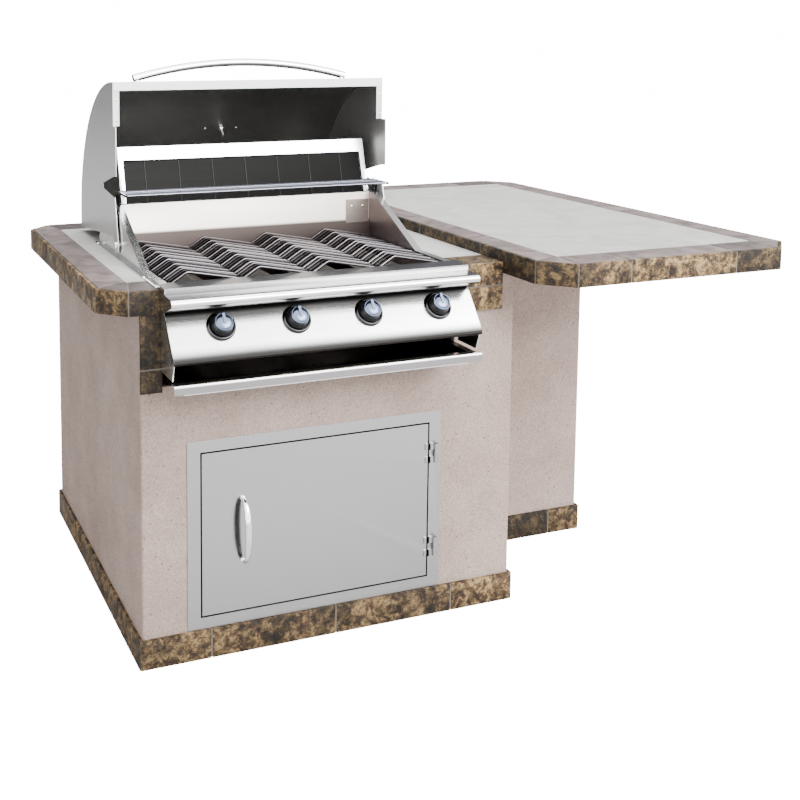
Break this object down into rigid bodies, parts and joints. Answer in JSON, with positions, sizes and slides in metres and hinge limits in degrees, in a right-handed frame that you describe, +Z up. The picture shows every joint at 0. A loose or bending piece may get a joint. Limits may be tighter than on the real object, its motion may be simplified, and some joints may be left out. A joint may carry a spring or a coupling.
{
  "type": "outdoor kitchen island",
  "caption": "Stucco outdoor kitchen island with a tiled counter, a drop-in gas grill with a roll-back hood, an access door and a raised bar top on a pedestal.",
  "frame": {"origin": "middle of the footprint's box, on the ground", "axes": "+X to the right along the front, towards the bar; +Y to the back; +Z up"},
  "size_m": [1.862, 1.463, 1.4495],
  "materials": {
    "stucco": "sand-textured stucco on cement board",
    "frame_tube": "mill finish square tube",
    "stone_tile": "mottled brown and gold stone tile, satin",
    "field_tile": "warm light grey tile, matt",
    "border_tile": "mauve grey stone tile, honed",
    "satin_steel": "satin brushed",
    "polished_steel": "polished",
    "grate_steel": "polished rod",
    "burner_steel": "plain",
    "chrome_wire": "bright wire",
    "chrome_trim": "bright",
    "brass_fitting": "plain",
    "knob_plastic": "dark skirt with a silver face",
    "catch_plastic": "matt black"
  },
  "bodies": {
    "island": {"front_wall": "stucco", "back_wall": "stucco", "left_wall": "stucco", "right_wall": "stucco", "pedestal_shell": "stucco", "body_frame": "frame_tube", "pedestal_frame": "frame_tube", "base_tiles": "stone_tile", "pedestal_base_tiles": "stone_tile", "counter_edge_tiles": "stone_tile", "counter_corner_tiles": "stone_tile", "surround_tiles": "stone_tile", "bar_edge_tiles": "stone_tile", "counter_slab": "field_tile", "bar_slab": "field_tile", "counter_border_tiles": "border_tile", "bar_border_tiles": "border_tile", "door_frame": "satin_steel", "door_catch": "catch_plastic", "firebox": "polished_steel", "rear_baffle": "polished_steel", "control_fascia": "polished_steel", "tray_rail_left": "satin_steel", "tray_rail_right": "satin_steel", "gas_manifold": "brass_fitting", "burner_1": "burner_steel", "heat_plate_1": "satin_steel", "knob_bezel_1": "chrome_trim", "burner_2": "burner_steel", "heat_plate_2": "satin_steel", "knob_bezel_2": "chrome_trim", "burner_3": "burner_steel", "heat_plate_3": "satin_steel", "knob_bezel_3": "chrome_trim", "burner_4": "burner_steel", "heat_plate_4": "satin_steel", "knob_bezel_4": "chrome_trim"},
    "hood": {"hood_skin": "polished_steel", "hood_side_left": "satin_steel", "hood_side_right": "satin_steel", "hood_handle": "polished_steel", "hood_thermometer": "chrome_trim"},
    "door": {"door_panel": "satin_steel", "door_handle": "polished_steel", "door_hinge_pin_1": "satin_steel", "door_hinge_pin_2": "satin_steel"},
    "tray": {"drip_tray": "polished_steel"},
    "rack": {"warming_rack": "chrome_wire"},
    "grate_1": {"cooking_grate_1": "grate_steel"},
    "stem_1": {"valve_stem_1": "brass_fitting"},
    "knob_1_body": {"knob_1": "knob_plastic"},
    "grate_2": {"cooking_grate_2": "grate_steel"},
    "stem_2": {"valve_stem_2": "brass_fitting"},
    "knob_2_body": {"knob_2": "knob_plastic"},
    "grate_3": {"cooking_grate_3": "grate_steel"},
    "stem_3": {"valve_stem_3": "brass_fitting"},
    "knob_3_body": {"knob_3": "knob_plastic"},
    "grate_4": {"cooking_grate_4": "grate_steel"},
    "stem_4": {"valve_stem_4": "brass_fitting"},
    "knob_4_body": {"knob_4": "knob_plastic"}
  },
  "joints": [
    {"name": "hood_hinge", "type": "hinge", "parent": "island", "child": "hood", "pos_m": [-0.392, -0.0955, 0.96], "axis": [1, 0, 0], "range_deg": [0, 94]},
    {"name": "door_hinge", "type": "hinge", "parent": "island", "child": "door", "pos_m": [-0.051, -0.5145, 0.312], "axis": [0, 0, 1], "range_deg": [0, 105]},
    {"name": "tray_slide", "type": "slide", "parent": "island", "child": "tray", "axis": [0, -1, 0], "range_m": [0, 0.35]},
    {"name": "rack_lift", "type": "slide", "parent": "island", "child": "rack", "axis": [0, 0, 1], "range_m": [0, 0.08]},
    {"name": "grate_1_lift", "type": "slide", "parent": "island", "child": "grate_1", "axis": [0, 0, 1], "range_m": [0, 0.1]},
    {"name": "grate_2_lift", "type": "slide", "parent": "island", "child": "grate_2", "axis": [0, 0, 1], "range_m": [0, 0.1]},
    {"name": "grate_3_lift", "type": "slide", "parent": "island", "child": "grate_3", "axis": [0, 0, 1], "range_m": [0, 0.1]},
    {"name": "grate_4_lift", "type": "slide", "parent": "island", "child": "grate_4", "axis": [0, 0, 1], "range_m": [0, 0.1]},
    {"name": "stem_1_push", "type": "slide", "parent": "island", "child": "stem_1", "axis": [0, 0.796, -0.6053], "range_m": [0, 0.003], "stiffness_N_per_m": 1000, "springref_m": -0.002},
    {"name": "knob_1_turn", "type": "hinge", "parent": "stem_1", "child": "knob_1_body", "pos_m": [-0.664, -0.58234, 0.84538], "axis": [0, -0.796, 0.6053], "range_deg": [0, 225]},
    {"name": "stem_2_push", "type": "slide", "parent": "island", "child": "stem_2", "axis": [0, 0.796, -0.6053], "range_m": [0, 0.003], "stiffness_N_per_m": 1000, "springref_m": -0.002},
    {"name": "knob_2_turn", "type": "hinge", "parent": "stem_2", "child": "knob_2_body", "pos_m": [-0.474, -0.58234, 0.84538], "axis": [0, -0.796, 0.6053], "range_deg": [0, 225]},
    {"name": "stem_3_push", "type": "slide", "parent": "island", "child": "stem_3", "axis": [0, 0.796, -0.6053], "range_m": [0, 0.003], "stiffness_N_per_m": 1000, "springref_m": -0.002},
    {"name": "knob_3_turn", "type": "hinge", "parent": "stem_3", "child": "knob_3_body", "pos_m": [-0.284, -0.58234, 0.84538], "axis": [0, -0.796, 0.6053], "range_deg": [0, 225]},
    {"name": "stem_4_push", "type": "slide", "parent": "island", "child": "stem_4", "axis": [0, 0.796, -0.6053], "range_m": [0, 0.003], "stiffness_N_per_m": 1000, "springref_m": -0.002},
    {"name": "knob_4_turn", "type": "hinge", "parent": "stem_4", "child": "knob_4_body", "pos_m": [-0.094, -0.58234, 0.84538], "axis": [0, -0.796, 0.6053], "range_deg": [0, 225]}
  ]
}
